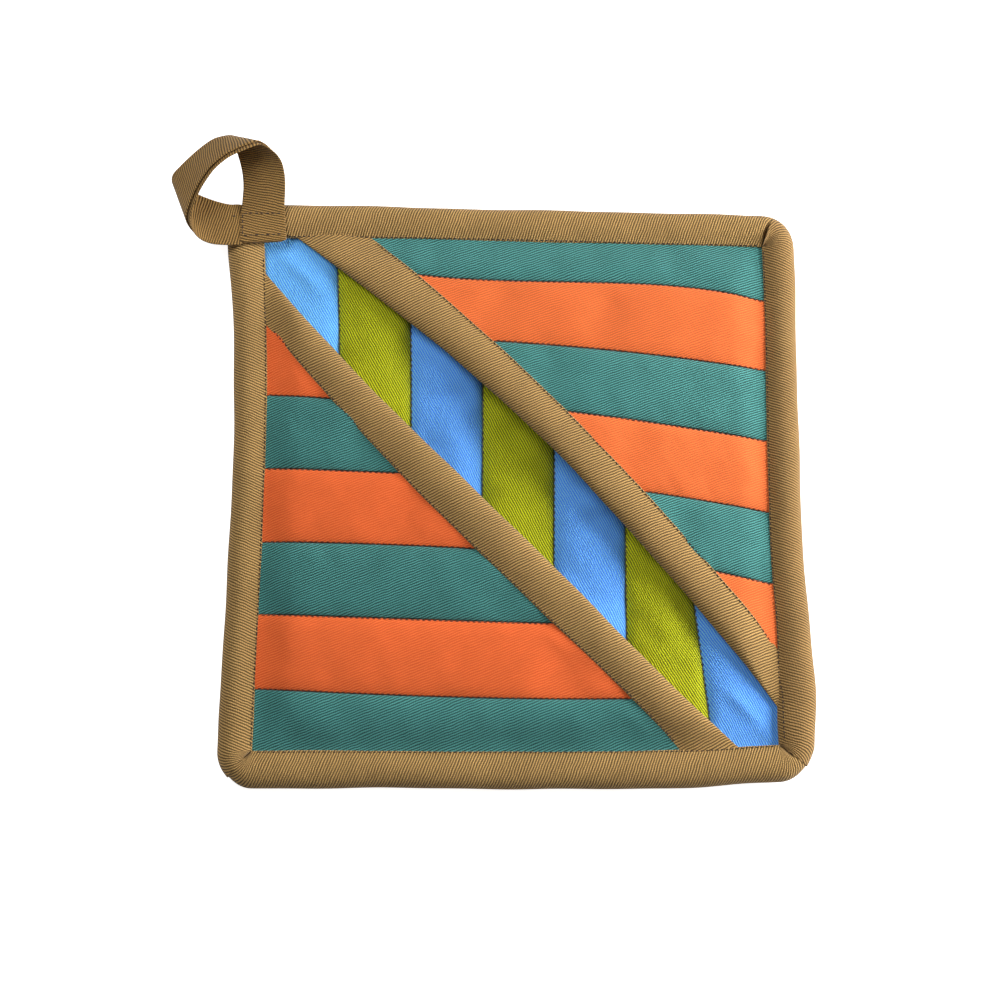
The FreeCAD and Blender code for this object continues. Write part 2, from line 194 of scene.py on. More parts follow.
def thicken(piece, thickness):
    """Gives a sheet its thickness, in mm, on the side away from its normals."""
    return modify(piece, "SOLIDIFY", thickness=thickness * MM, offset=-1.0, use_even_offset=False)


# %% Rolls


def cloth_roll(name, rings, cut, softened=True):
    """A closed form through rings of points: the ring's ends meet and its two mouths are filled."""
    rings = np.concatenate([rings, rings[:, :1]], 1)
    piece = cloth_grid(name, rings, cut)
    select_only(piece)
    bpy.ops.object.mode_set(mode="EDIT")
    bpy.ops.mesh.select_all(action="SELECT")
    bpy.ops.mesh.remove_doubles(threshold=1e-6)
    bpy.ops.mesh.select_all(action="DESELECT")
    bpy.ops.mesh.select_non_manifold(extend=False, use_wire=False, use_multi_face=False,
                                     use_non_contiguous=False, use_verts=False)
    bpy.ops.mesh.fill_holes(sides=0)
    bpy.ops.mesh.select_all(action="SELECT")
    bpy.ops.mesh.normals_make_consistent(inside=False)
    bpy.ops.object.mode_set(mode="OBJECT")
    bpy.ops.object.shade_smooth()
    return soften(piece) if softened else piece


def ring_cut(along, rings):
    """The flat place of each point of a roll: along the tape, and round it."""
    closed = np.concatenate([rings, rings[:, :1]], 1)
    steps = np.linalg.norm(np.diff(closed, axis=1), axis=2).mean(0) / MM
    around = np.concatenate([[0], np.cumsum(steps)])
    return np.stack(np.broadcast_arrays(along[:, None], around[None, :]), -1)


# %% [markdown]
# ## Colours and weave
#
# Every cloth here is a twill, whose fine slanting ridges are called wales. The weave reads the
# UV map, so it follows the tape round corners and leans the right way on each piece. One
# wave texture draws the wales, a second one across them breaks them into single floats, and
# noise gives the slub of cotton yarn and the slow change of colour of washed cloth.

# %% Node helpers


def node(tree, kind, inputs=(), **settings):
    """Adds a shader node, sets its fields and its sockets, and links what is linked."""
    made = tree.nodes.new(kind)
    for key, value in settings.items():
        setattr(made, key, value)
    for key, value in dict(inputs).items():
        socket = made.inputs[key]
        if isinstance(value, bpy.types.NodeSocket):
            tree.links.new(value, socket)
        else:
            socket.default_value = value
    return made


def new_material(name):
    material = bpy.data.materials.new(name)
    material.use_nodes = True
    material.node_tree.nodes.clear()
    return material, material.node_tree


def tint(tree, colour, shade):
    """One colour multiplied by another."""
    made = node(tree, "ShaderNodeMix", {0: 1.0, 6: colour, 7: shade}, data_type="RGBA",
                blend_type="MULTIPLY")
    return made.outputs[2]


def combine(tree, operation, first, second):
    return node(tree, "ShaderNodeMath", {0: first, 1: second}, operation=operation).outputs[0]


# %% Twill
WAVE = 0.314159  # a wave texture's scale, times the pitch of its bands


def twill(name, dark, light, weave, relief, mottle, sheen=0.12):
    """A twill. weave is the pitch of its wales in mm, and their direction in degrees from the
    cut's X. relief is how far a wale stands out in mm, and mottle how far the colour drifts."""
    pitch, lean = weave
    material, tree = new_material(name)
    place = node(tree, "ShaderNodeTexCoord").outputs["UV"]
    cut = node(tree, "ShaderNodeMapping", {"Vector": place, "Scale": (100, 100, 100)})
    drift = node(tree, "ShaderNodeTexNoise", {"Vector": cut.outputs[0], "Scale": 0.22,
                                              "Detail": 2.0, "Roughness": 0.5})
    shift = node(tree, "ShaderNodeVectorMath", {0: drift.outputs["Color"], 1: (0.7, 0.7, 0.0)},
                 operation="MULTIPLY")
    moved = node(tree, "ShaderNodeVectorMath", {0: cut.outputs[0], 1: shift.outputs[0]},
                 operation="ADD")
    across = node(tree, "ShaderNodeMapping", {"Vector": moved.outputs[0],
                                              "Rotation": (0, 0, math.radians(90 - lean))})
    wales = node(tree, "ShaderNodeTexWave", {"Vector": across.outputs[0],
                                             "Scale": WAVE / pitch, "Distortion": 0.35,
                                             "Detail": 1.0, "Detail Scale": 2.0})
    floats = node(tree, "ShaderNodeMapping", {"Vector": moved.outputs[0],
                                              "Rotation": (0, 0, math.radians(28 - lean))})
    ticks = node(tree, "ShaderNodeTexWave", {"Vector": floats.outputs[0],
                                             "Scale": WAVE / (pitch * 0.8),
                                             "Distortion": 1.2, "Detail": 1.0})
    slub = node(tree, "ShaderNodeTexNoise", {"Vector": cut.outputs[0], "Scale": 3.6,
                                             "Detail": 3.0, "Roughness": 0.6})
    cloud = node(tree, "ShaderNodeTexNoise", {"Vector": cut.outputs[0], "Scale": 0.06,
                                              "Detail": 3.0, "Roughness": 0.55})
    broken = node(tree, "ShaderNodeMapRange", {"Value": ticks.outputs["Fac"], 3: 0.72, 4: 1.0})
    woven = combine(tree, "MULTIPLY", wales.outputs["Fac"], broken.outputs[0])
    slubbed = node(tree, "ShaderNodeMapRange", {"Value": slub.outputs["Fac"], 1: 0.25, 2: 0.75,
                                                3: -0.34, 4: 0.34})
    tone = combine(tree, "ADD", woven, slubbed.outputs[0])
    ramp = node(tree, "ShaderNodeValToRGB", {"Fac": tone})
    ramp.color_ramp.elements[0].position = 0.05
    ramp.color_ramp.elements[0].color = (*dark, 1)
    ramp.color_ramp.elements[1].position = 0.85
    ramp.color_ramp.elements[1].color = (*light, 1)
    clouds = node(tree, "ShaderNodeMapRange", {"Value": cloud.outputs["Fac"], 1: 0.3, 2: 0.7,
                                               3: 1.0 - mottle, 4: 1.0 + mottle * 0.55})
    grey = node(tree, "ShaderNodeCombineColor", {0: clouds.outputs[0], 1: clouds.outputs[0],
                                                 2: clouds.outputs[0]})
    colour = tint(tree, ramp.outputs["Color"], grey.outputs[0])
    height = combine(tree, "ADD", woven, combine(tree, "MULTIPLY", slub.outputs["Fac"], 0.5))
    bump = node(tree, "ShaderNodeBump", {"Height": height, "Strength": 0.8,
                                         "Distance": relief * MM})
    cloth = node(tree, "ShaderNodeBsdfPrincipled", {"Base Color": colour, "Roughness": 0.9,
                                                    "Normal": bump.outputs[0]})
    cloth.inputs["Specular IOR Level"].default_value = 0.25
    cloth.inputs["Sheen Weight"].default_value = sheen
    cloth.inputs["Sheen Roughness"].default_value = 0.5
    node(tree, "ShaderNodeOutputMaterial", {"Surface": cloth.outputs[0]})
    return material


# %% Fibres without a weave


def fuzz(name, dark, light, scale, relief):
    """Felt, batting or spun thread: fibres with no weave."""
    material, tree = new_material(name)
    place = node(tree, "ShaderNodeTexCoord").outputs["Object"]
    fibres = node(tree, "ShaderNodeTexNoise", {"Vector": place, "Scale": scale, "Detail": 6.0,
                                               "Roughness": 0.7, "Distortion": 1.5})
    ramp = node(tree, "ShaderNodeValToRGB", {"Fac": fibres.outputs["Fac"]})
    ramp.color_ramp.elements[0].position = 0.3
    ramp.color_ramp.elements[0].color = (*dark, 1)
    ramp.color_ramp.elements[1].position = 0.7
    ramp.color_ramp.elements[1].color = (*light, 1)
    bump = node(tree, "ShaderNodeBump", {"Height": fibres.outputs["Fac"], "Strength": 0.7,
                                         "Distance": relief * MM})
    cloth = node(tree, "ShaderNodeBsdfPrincipled", {"Base Color": ramp.outputs["Color"],
                                                    "Roughness": 0.95,
                                                    "Normal": bump.outputs[0]})
    cloth.inputs["Sheen Weight"].default_value = 0.1
    node(tree, "ShaderNodeOutputMaterial", {"Surface": cloth.outputs[0]})
    return material


# %% The cloths of this mitt


def shades(colour, dark, light):
    """A darker and a lighter shade of a cloth's colour, for between and on the wales."""
    return tuple(c * dark for c in colour), tuple(min(c * light, 1) for c in colour)


OLIVE = (0.326, 0.195, 0.066)
SHADED_RIGHT_OLIVE = (0.272, 0.158, 0.053)  # the same tape, painted darker along the right side: painted shade
# the loop's tape is the binding's, painted darker: painted shade on its upright and inner faces
SHADED_LOOP_OLIVE = (0.230, 0.130, 0.038)
TEAL = (0.052, 0.200, 0.183)
ORANGE = (0.970, 0.170, 0.039)
GREEN = (0.375, 0.395, 0.005)

# the pitch of the wales in mm, and their direction in degrees
TAPE_WEAVE = (0.89, 111)
FACE_WEAVE = (0.79, 118)
POCKET_WEAVE = (0.82, 21)

tape_twill = twill("olive_twill_tape", *shades(OLIVE, 0.30, 1.92), TAPE_WEAVE, 0.22, 0.10)
shaded_right_twill = twill("olive_twill_right_shaded", *shades(SHADED_RIGHT_OLIVE, 0.30, 1.92), TAPE_WEAVE, 0.22, 0.10)
shaded_loop_twill = twill("olive_twill_loop_shaded", *shades(SHADED_LOOP_OLIVE, 0.26, 2.0), (0.87, 77), 0.20, 0.14)
back_twill = twill("olive_twill_back", *shades(OLIVE, 0.40, 1.60), (0.80, 62), 0.16, 0.12)
blue_twill = twill("blue_twill", (0.045, 0.205, 1.0), (0.225, 0.62, 1.0), FACE_WEAVE, 0.16, 0.08)
# the first blue strip's cloth, painted paler: painted light on the face's open corner by the loop
lit_blue_twill = twill("blue_twill_lit", (0.055, 0.255, 1.0), (0.255, 0.73, 1.0), FACE_WEAVE,
                        0.16, 0.08)
green_twill = twill("green_twill", *shades(GREEN, 0.28, 1.90), FACE_WEAVE, 0.16, 0.10)
teal_twill = twill("teal_twill", *shades(TEAL, 0.30, 1.90), POCKET_WEAVE, 0.16, 0.10)
orange_twill = twill("orange_twill", *shades(ORANGE, 0.64, 1.25), POCKET_WEAVE, 0.14, 0.07)
# the thumb pocket's orange is the same cloth, painted deeper and redder and given less sheen:
# painted shade on the pocket that faces away from the lamps
shaded_orange_twill = twill("orange_twill_shaded", (0.80, 0.105, 0.021), (1.0, 0.205, 0.052),
                          POCKET_WEAVE, 0.14, 0.07, 0.05)
lining_cloth = twill("lining_cotton", *shades(OLIVE, 0.55, 1.2), (0.50, 45), 0.06, 0.1)
batting_fill = fuzz("white_batting", (0.72, 0.70, 0.66), (0.88, 0.87, 0.84), 900, 0.4)
heat_felt = fuzz("grey_needled_felt", (0.55, 0.55, 0.55), (0.78, 0.78, 0.78), 1400, 0.2)
dark_thread = fuzz("brown_thread", (0.022, 0.014, 0.008), (0.060, 0.036, 0.020), 3000, 0.1)
red_thread = fuzz("rust_thread", (0.040, 0.010, 0.006), (0.120, 0.024, 0.010), 3000, 0.1)
green_thread = fuzz("moss_thread", (0.020, 0.030, 0.012), (0.060, 0.075, 0.030), 3000, 0.1)
print("cloths:", len(bpy.data.materials))


def dress(piece, material):
    """Gives a piece its cloth."""
    piece.data.materials.clear()
    piece.data.materials.append(material)
    return piece


# %% [markdown]
# ## Pieces across the fold
#
# The pad folds along the diagonal between the pocket mouths. Each cloth that crosses the fold
# is one piece here, although the frame has it in two halves.


def across_fold(piece):
    """Bakes the piece's place into its points; nothing bends at the fold."""
    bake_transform(piece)


def both_halves(*names):
    return [f"{name}_{side}" for name in names for side in ("finger_side", "thumb_side")]


# %% [markdown]
# ## Pocket tents
#
# Each pocket is a triangle sewn along two edges of the pad. Its third side is the mouth, which
# stands open a little, so the pocket is a low tent whose top runs from the corner to the
# middle of the mouth. One function gives the height of the tent's underside, and lining,
# batting, stripes and mouth band are all laid on it, so that none of them can cross. The thumb
# pocket is set out in the same corner as the finger pocket, and turned half round.

# %% Pocket sizes


def line_of(*pairs):
    """A soft curve through (along, off) pairs: how far a mouth line lies from the fold."""
    along, off = np.array(pairs, float).T
    return np.poly1d(np.polyfit(along, off, 4))


# turn puts a pocket in its corner, and seed starts its wobble. lift is how far the tent rises
# from its legs to the mouth, ridge how far the ridge runs from the corner along X and Y. free
# and sewn are the band's two edges, seams the lines between the stripes, from the mouth to the
# leg, and foot is where the last stripe ends.
POCKETS = {
    "finger": {
        "turn": 1.0,
        "seed": 2.1,
        "lift": 8.0,
        "ridge": (65.08, 62.33),
        "free": line_of((-114.6, 9.4), (-73.1, 14.5), (-36.4, 17.3), (-2.5, 18.1),
                        (32.8, 18.2), (68, 15.4), (117.4, 9.4)),
        "sewn": line_of((-99.6, 27.0), (-86.1, 28.1), (-44.1, 30.7), (-6.7, 30.4),
                        (30.6, 30.3), (47.3, 30.0), (69.2, 27.7), (104.9, 22.8)),
        "seams": (((-33, 75.6), (-3, 73.9), (20, 74.6), (40, 73.9), (88, 69.3)),
                  ((-9.5, 51.8), (40, 48.5), (88, 43.6)),
                  ((16.7, 26.6), (50, 23.0), (88, 17.9)),
                  ((44.8, -1.7), (66, -4.6), (88, -8.2)),
                  ((68.9, -29.3), (88, -33.5))),
        "foot": -66.0,
    },
    "thumb": {
        "turn": -1.0,
        "seed": 5.4,
        "lift": 6.5,
        "ridge": (75.69, 70.96),
        "free": line_of((115.1, 9.8), (75.4, 12.4), (39.7, 12.4), (4.3, 12.4),
                        (-29.6, 11.6), (-64.8, 11.0), (-102.3, 11.2), (-115.4, 10.0)),
        "sewn": line_of((103.3, 22.1), (63.4, 25.0), (32.3, 26.3), (-5.5, 26.1),
                        (-42.5, 24.7), (-73.2, 23.6), (-102.6, 23.7)),
        "seams": (((-35, 72.4), (20, 71.8), (88, 69.1)),
                  ((-11.6, 47.2), (40, 45.8), (88, 44.0)),
                  ((15.6, 22.0), (50, 20.4), (88, 19.2)),
                  ((41.4, -4.6), (88, -6.9)),
                  ((65.7, -31.1), (88, -32.9))),
        "foot": -63.5,
    },
}
print("pockets:", list(POCKETS))

# %% The tent and its layers
LEG_HEIGHT = 5.9  # where the pocket's stack goes down under the edge binding


def tent(pocket, x, y):
    """The height of a pocket's underside over a drawn place."""
    side = np.clip(POCKET_CORNER - x, -6, None) / pocket["ridge"][0]
    end = np.clip(POCKET_CORNER - y, -6, None) / pocket["ridge"][1]
    roundness = 0.35  # of the ridge, where the two panels meet
    overlap = np.clip(roundness - np.abs(side - end), 0, None) / roundness
    return LEG_HEIGHT + pocket["lift"] * (np.minimum(side, end) - overlap**2 * roundness / 4)


def from_leg(x, y):
    """How far a drawn place lies inside the nearer leg of its pocket."""
    return np.minimum(POCKET_CORNER - x, POCKET_CORNER - y)


def stack(x, y):
    """How thick the pocket's layers are together: thin at the legs, full inside."""
    return 0.9 + 2.1 * smooth((from_leg(x, y) + 1) / 13)


def pocket_place(pocket, points):
    """Settled place of points that are set out in the finger pocket's corner."""
    turned = np.array(points, float)
    turned[..., :2] *= pocket["turn"]
    return settle(turned)


print("finger tent rises to", round(float(tent(POCKETS["finger"], 20, 20)), 1), "mm")

# %% The mouths' lines


def mouth_place(along, off):
    """The drawn place that far along the fold and off it."""
    return (off + along) / math.sqrt(2), (off - along) / math.sqrt(2)


def band_edges(pocket, along):
    """How far off the fold the band's sewn edge and its free edge lie, with their wobble."""
    inside = np.clip(along, -119, 119)
    sewn = pocket["sewn"](inside) + wander(along, pocket["seed"], 0.2)
    return sewn, pocket["free"](inside) - 0.8 + wander(along, pocket["seed"] + 1, 0.35)


def mouth_x(pocket, y, inward):
    """Where a line that far inside the band's sewn edge crosses a row of the drawn pad."""
    along = np.linspace(-130, 130, 400)
    x, row = mouth_place(along, band_edges(pocket, along)[0] - inward)
    order = np.argsort(row)
    return np.interp(y, row[order], x[order])


for key, pocket in POCKETS.items():
    sewn, free = band_edges(pocket, 0.0)
    print(key, "mouth band:", round(float(sewn - free), 1), "mm wide at its middle")

# %% [markdown]
# ## Puffing a quilted cloth
#
# A quilted cloth is held down along its seams and stands up between them. The cloth
# simulation does this well: the seams are pinned, the cloth is given a little slack, and a
# pressure lifts it. It starts from a soft crown, and no point may move further than a cap, so
# the result is the same on each run and stays clear of its neighbours.

# %% Cloth simulation
FRAMES = 20  # steps of the simulation


def puff(points, pinned, pressure, slack, cap):
    """Puffs a grid of cloth (in metres) between its pinned points, by cap mm at most."""
    piece = cloth_grid("puffing_cloth", points, points[..., :2] / MM)
    piece.vertex_groups.new(name="sewn")
    held = [int(i) for i in np.flatnonzero(pinned.reshape(-1))]
    piece.vertex_groups["sewn"].add(held, 1.0, "REPLACE")
    cloth = piece.modifiers.new("Cloth", "CLOTH")
    settings = cloth.settings
    settings.quality = 6
    settings.mass = 0.2
    settings.tension_stiffness = settings.compression_stiffness = 20
    settings.shear_stiffness = 8
    settings.bending_stiffness = 0.6
    settings.vertex_group_mass = "sewn"
    settings.use_pressure = True
    settings.uniform_pressure_force = pressure
    settings.shrink_min = -slack
    settings.effector_weights.gravity = 0
    cloth.point_cache.frame_start, cloth.point_cache.frame_end = 1, FRAMES
    for step in range(1, FRAMES + 1):
        bpy.context.scene.frame_set(step)
    select_only(piece)
    bpy.ops.object.modifier_apply(modifier="Cloth")
    bpy.context.scene.frame_set(1)
    puffed = np.empty(len(piece.data.vertices) * 3, np.float32)
    piece.data.vertices.foreach_get("co", puffed)
    bpy.data.objects.remove(piece)
    move = puffed.reshape(points.shape).astype(float) - points
    far = np.linalg.norm(move, axis=2, keepdims=True)
    print("  puffed by up to", round(float(far.max() / MM), 2), "mm")
    move = move * np.minimum(1, cap * MM / np.maximum(far, 1e-9))
    for _ in range(3):  # eases the small wrinkles, and leaves the seams where they are
        eased = (move[:-2, 1:-1] + move[2:, 1:-1] + move[1:-1, :-2] + move[1:-1, 2:]) / 4
        free = ~pinned[1:-1, 1:-1, None]
        move[1:-1, 1:-1] = np.where(free, 0.45 * move[1:-1, 1:-1] + 0.55 * eased, move[1:-1, 1:-1])
    return points + move


# %% [markdown]
# ## The pieced face
#
# Seven upright strips, blue and green in turn, make the face. All seven are puffed as one
# cloth, held along the seams, and then cut into strips whose edges turn down into the seam.
# Under the pockets the cloth is pressed flat, so its height is kept below the tents.

# %% Puff the face as one cloth
CELLS = 12  # columns of the grid in each strip
MARGIN = 3  # columns that run on under the binding
UNDER = 5.5  # how far the rows run on under it, in mm
CROWN = 2.4  # how far a channel stands up before it is puffed
columns = STRIPS * CELLS + 2 * MARGIN + 1
rows = 111
face_x, face_y = np.meshgrid((np.arange(columns) - MARGIN) * STRIP / CELLS - INNER,
                             np.linspace(-INNER - UNDER, INNER + UNDER, rows))
strip_share = np.clip((face_x + INNER) / STRIP, 0, STRIPS)  # whole numbers are seams
edge = smooth((INNER - np.abs(face_y)) / 16) * smooth((INNER + 0.5 - np.abs(face_x)) / 8)
seam_line = np.abs(strip_share - np.round(strip_share)) < 0.001
crown = np.sin(np.pi * (strip_share % 1.0)) ** 0.75 * edge
face_z = FACE + 0.25 + CROWN * crown


def seam_lean(x, y):
    """The last seam of the face was sewn a little askew."""
    return np.clip((-57 - y) * 0.106, -2.4, 2.2) * np.exp(-((x - 63.5) / 16) ** 2)


face_flat = np.stack([face_x + seam_lean(face_x, face_y), face_y, face_z], -1)
pinned = seam_line | (np.abs(face_x) > INNER - 0.01) | (np.abs(face_y) > INNER)
face_cloth = puff(settle(face_flat), pinned, 4.0, 0.035, 1.6)
calm = (smooth((np.maximum(np.abs(face_x), np.abs(face_y)) - 60) / 12)
        * smooth(-face_x * face_y / 2500))
face_cloth += calm[..., None] * (settle(face_flat) - face_cloth)  # the ends lie smooth
print("face grid:", rows, "rows of", columns)

# %% Press the face under the pockets
CLEAR = 0.55  # between the face and a pocket's lining
PRESS_FROM = 2.0  # the pocket presses from this far off the fold, and gives way before it
room = np.full(face_x.shape, 30.0)  # no limit
for pocket in POCKETS.values():
    side = pocket["turn"]
    under = tent(pocket, side * face_x, side * face_y) - CLEAR
    distance = side * (face_x + face_y) / math.sqrt(2)
    give = np.maximum(PRESS_FROM - distance, 0) * 0.8
    room = np.minimum(room, under + give)
height = face_cloth[..., 2] / MM
soft = 0.5 * (height + room - np.sqrt((height - room) ** 2 + 0.35))  # a rounded minimum
face_cloth[..., 2] = np.maximum(soft, FACE - 0.4) * MM
print("face stands from", round(float(height.min()), 1), "to", round(float(soft.max()), 1), "mm")

# %% Cut the face into strips
face_cut = np.stack([face_x, face_y], -1)
for i in range(STRIPS):
    first = MARGIN + i * CELLS - (MARGIN if i == 0 else 0)
    last = MARGIN + (i + 1) * CELLS + (MARGIN if i == STRIPS - 1 else 0)
    places = face_cloth[:, first:last + 1].copy()
    cut = face_cut[:, first:last + 1]
    turn = np.zeros(places.shape[1])  # the edges that turn down into a seam
    if i > 0:
        turn[0] = 1
    if i < STRIPS - 1:
        turn[-1] = 1
    places[..., 2] -= turn * 0.8 * MM
    places[..., 0] += turn * 0.15 * MM * np.where(np.arange(len(turn)) == 0, -1, 1)
    colour = "blue" if i % 2 == 0 else "green"
    strip = cloth_grid(f"{colour}_face_{i // 2 + 1}", places, cut)
    thicken(strip, 0.5)
    soften(strip)
    blue = blue_twill if i else lit_blue_twill  # the first strip is painted paler, as painted light
    dress(strip, blue if colour == "blue" else green_twill)
    across_fold(strip)
    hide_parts(*both_halves(f"{colour}_strip_{i // 2 + 1}"))
print("strips:", STRIPS)

# %% [markdown]
# ## The layers inside and the back cloth
#
# Under the face lie batting and a heat layer, and the back cloth closes the pad. Only the
# back cloth is seen, so the two layers are plain slabs, closed as a roll is. The quilting
# stitches pull the back cloth in along the strip seams, so shallow channels show on the back
# too.

# %% Inner layers


def slab(name, x, y, low, high):
    """A closed layer between two surfaces over a grid of drawn places."""
    top = settle(np.stack([x, y, high], -1))
    bottom = settle(np.stack([x, y, low], -1))[:, ::-1]
    rings = np.concatenate([top, bottom], 1)
    along = np.abs(y[:, 0] - y[0, 0])
    return cloth_roll(name, rings, ring_cut(along, rings), softened=False)


LAYER = 96  # half the batting's width
CORNER = 86  # beyond this its corners are trimmed a little
inner_x, inner_y = np.meshgrid(np.linspace(-LAYER, LAYER, 65), np.linspace(-LAYER, LAYER, 65))
into_corner = np.hypot(np.maximum(np.abs(inner_x) - CORNER, 0),
                       np.maximum(np.abs(inner_y) - CORNER, 0))
trimmed = inner_x * (0.99 + 0.01 * smooth((OUTER - 2 - into_corner - CORNER) / 5))
level = np.ones_like(inner_x)
pad_batting = slab("pad_batting", trimmed, inner_y, 2.1 * level, 4.1 * level)
dress(pad_batting, batting_fill)
across_fold(pad_batting)
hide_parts(*both_halves("base_batting"))

heat_share = (INNER - 0.5) / LAYER  # it ends at the binding's seam
heat_pad = slab("heat_pad", inner_x * heat_share, inner_y * heat_share, 1.3 * level, 2.0 * level)
dress(heat_pad, heat_felt)
across_fold(heat_pad)
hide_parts(*both_halves("heat_layer"))
print("inner layers:", pad_batting.name, heat_pad.name)

# %% Back cloth
back_half = INNER + 5.0
back_x, back_y = np.meshgrid(np.linspace(-back_half, back_half, 141),
                             np.linspace(-back_half, back_half, 121))
channel = np.abs(((back_x + INNER) / STRIP + 0.5) % 1.0 - 0.5) * STRIP
back_z = 0.42 + 0.45 * np.exp(-(channel / 1.3) ** 2) + 0.12 * wander(back_y, back_x.mean())
back_z = np.clip(back_z + 0.06 * wander(back_x * 1.7 + back_y, 1.0), 0.1, None)
back_points = settle(np.stack([back_x, back_y, back_z], -1))
back = cloth_grid("back_cloth", back_points[:, ::-1], np.stack([back_x, back_y], -1)[:, ::-1])
thicken(back, 0.4)
soften(back)
dress(back, back_twill)
across_fold(back)
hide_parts(*both_halves("back_panel"))
print("back cloth cut", round(2 * back_half, 1), "mm square")

# %% [markdown]
# ## Edge binding
#
# A tape is folded over the pad's edge and sewn down near its inner edge, which leaves a small
# groove along the stitches and a plump roll outside it. Each side is swept along the edge and
# fans round half of the corner at each end, where the tape's fold makes a short crease. The
# four lengths overlap a little at the corners, so that no gap opens there.

# %% The binding's section and its four sides
PROFILE = np.array([  # across from the stitches outwards, and height
    (0.0, 5.2), (0.0, 6.7), (0.22, 7.05), (0.6, 7.05), (1.2, 7.4), (2.6, 8.1), (4.6, 8.75),
    (7.0, 8.95), (9.4, 8.35), (11.1, 6.9), (12.0, 4.6), (11.8, 2.4), (10.7, 0.8), (9.0, 0.12),
    (6.0, 0.02), (2.0, 0.02), (0.4, 0.25), (0.0, 1.2)])

# For each end of a side: the angle of its crease, the height and length of its fold there, and
# how far the rounded corner stands out from a true arc.
SIDES = {
    "right": {"out": (1, 0), "on": (0, 1), "ends": ((37, -0.35, 7.5), (68, 0.8, 8.0)),
              "pull": (0.0, 0.03)},
    "top": {"out": (0, 1), "on": (-1, 0), "ends": ((22, -3.4, 8.5), None), "pull": (0.03, 0)},
    "left": {"out": (-1, 0), "on": (0, -1), "ends": (None, (45, -1.9, 6.0)), "pull": (0, -0.02)},
    "bottom": {"out": (0, -1), "on": (1, 0), "ends": ((45, -1.0, 6.0), (53, -1.7, 7.5)),
               "pull": (-0.06, -0.04)},
}
FAN = np.array([1, 0.985, 0.95, 0.89, 0.8, 0.7, 0.6, 0.5, 0.4, 0.3, 0.2, 0.1])
OVERLAP = 1.2  # degrees that each roll runs on past its crease
ROOT = 11.6  # mm that the tape runs straight on to the loop
MEAN_RADIUS = 9.0  # at which the tape's length is measured round a corner

# %% Stations along one side


def binding_stations(side):
    """For each station: its place along the edge, its fan angle, how near it is to a crease,
    and that crease's height and length."""
    start, end = side["ends"]
    straight = np.linspace(-INNER, INNER + (0 if end else ROOT), 84)
    parts = [(straight, 0 * straight, 0 * straight, 0 * straight, 0 * straight + 1)]
    for place, crease, way in ((-INNER, start, -1), (INNER, end, 1)):
        if crease is None:
            continue
        turn = np.radians(crease[0] + OVERLAP) * FAN[::-way]
        gap = np.degrees(np.radians(crease[0]) - turn)
        part = (np.full(len(FAN), place), way * turn, np.exp(-(gap / 10.0) ** 2),
                np.full(len(FAN), crease[1]), np.full(len(FAN), crease[2]))
        parts.insert(len(parts) if way > 0 else 0, part)
    return [np.concatenate(column) for column in zip(*parts)]


for key, side in SIDES.items():
    print(key, "side:", len(binding_stations(side)[0]), "stations")

# %% Binding rolls


def binding_roll(key, seed):
    """One length of the binding: its section, swept along the side and round its corners."""
    side = SIDES[key]
    out, on = np.array(side["out"], float), np.array(side["on"], float)
    along, angle, near, rise, fold = (part[:, None] for part in binding_stations(side))
    path = along + angle * MEAN_RADIUS
    calm = smooth((INNER - np.abs(along)) / 14)
    across = PROFILE[None, :, 0] * np.ones_like(path)
    height = PROFILE[None, :, 1] * np.ones_like(path)
    plump = 1 + calm * (0.06 * wander(path, seed) + 0.03 * wander(3 * path, seed + 1))
    height = np.where(height > 4, 4 + (height - 4) * plump, height)
    outer = smooth((across - 1.5) / 6)
    across = across + outer * calm * 0.4 * wander(path, seed + 2)
    across = across + (1 - outer) * calm * 0.25 * wander(path, seed + 3)
    crease = near * smooth((across + 0.4) / 1.2) * (1 - smooth((across - fold + 3) / 3))
    height = height + crease * rise * smooth((height - 3) / 3)
    pull = np.where(along < 0, side["pull"][0], side["pull"][1])
    across = across * (1 + pull * np.sin(2 * np.abs(angle)) ** 2)
    if key in ("right", "left"):  # each is a little wider near one end
        middle, spread, wide = (-73, 15, 2.2) if key == "right" else (-86, 15, 1.3)
        bulge = np.exp(-((along - middle) / spread) ** 2) * (1 - smooth(np.abs(angle) / 0.5))
        across = across + wide * outer * bulge
    reach_out, reach_on = np.cos(angle) * across, np.sin(angle) * across
    x = out[0] * (INNER + reach_out) + on[0] * (along + reach_on)
    y = out[1] * (INNER + reach_out) + on[1] * (along + reach_on)
    rings = settle(np.stack([x, y, height], -1))
    roll = cloth_roll(f"{key}_edge_roll", rings, ring_cut(path[:, 0], rings))
    # the right roll takes the tape painted darker, as painted shade
    dress(roll, shaded_right_twill if key == "right" else tape_twill)
    across_fold(roll)
    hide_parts(f"{key}_binding")
    return roll


rolls = {key: binding_roll(key, 1.3 * i + 0.7) for i, key in enumerate(SIDES)}
print("binding rolls:", sorted(rolls))

# %% [markdown]
# ## Pocket cloths
#
# Each pocket is six stripes, teal and orange in turn, over its own batting and lining. The
# stripes are puffed together and then cut along their seams, as the face is. The grid's rows
# lean as the seams do, so a cut between two rows is a clean seam.

# %% Stripe grid
STRIPES = 6
OVER_RIDGE = 3  # this many stripes cross the ridge, and the others lie on the side panel
STRIPE_ROWS = 9
STRIPE_COLUMNS = 70


def seam_curve(seam):
    """A smooth line through a seam's points: its Y at each X."""
    return np.poly1d(np.polyfit(*np.array(seam).T, min(3, len(seam) - 1)))


def pocket_rows(pocket):
    """The drawn rows of the stripes: the seams above and below each row, and its share."""
    top, foot = np.poly1d([INNER + 5.0]), np.poly1d([pocket["foot"]])
    lines = [top, *(seam_curve(seam) for seam in pocket["seams"]), foot]
    shares = np.linspace(0, 1, STRIPE_ROWS + 1)[:-1]
    rows = [(upper, lower, share) for upper, lower in zip(lines, lines[1:]) for share in shares]
    return rows + [(lines[-2], foot, 1.0)]


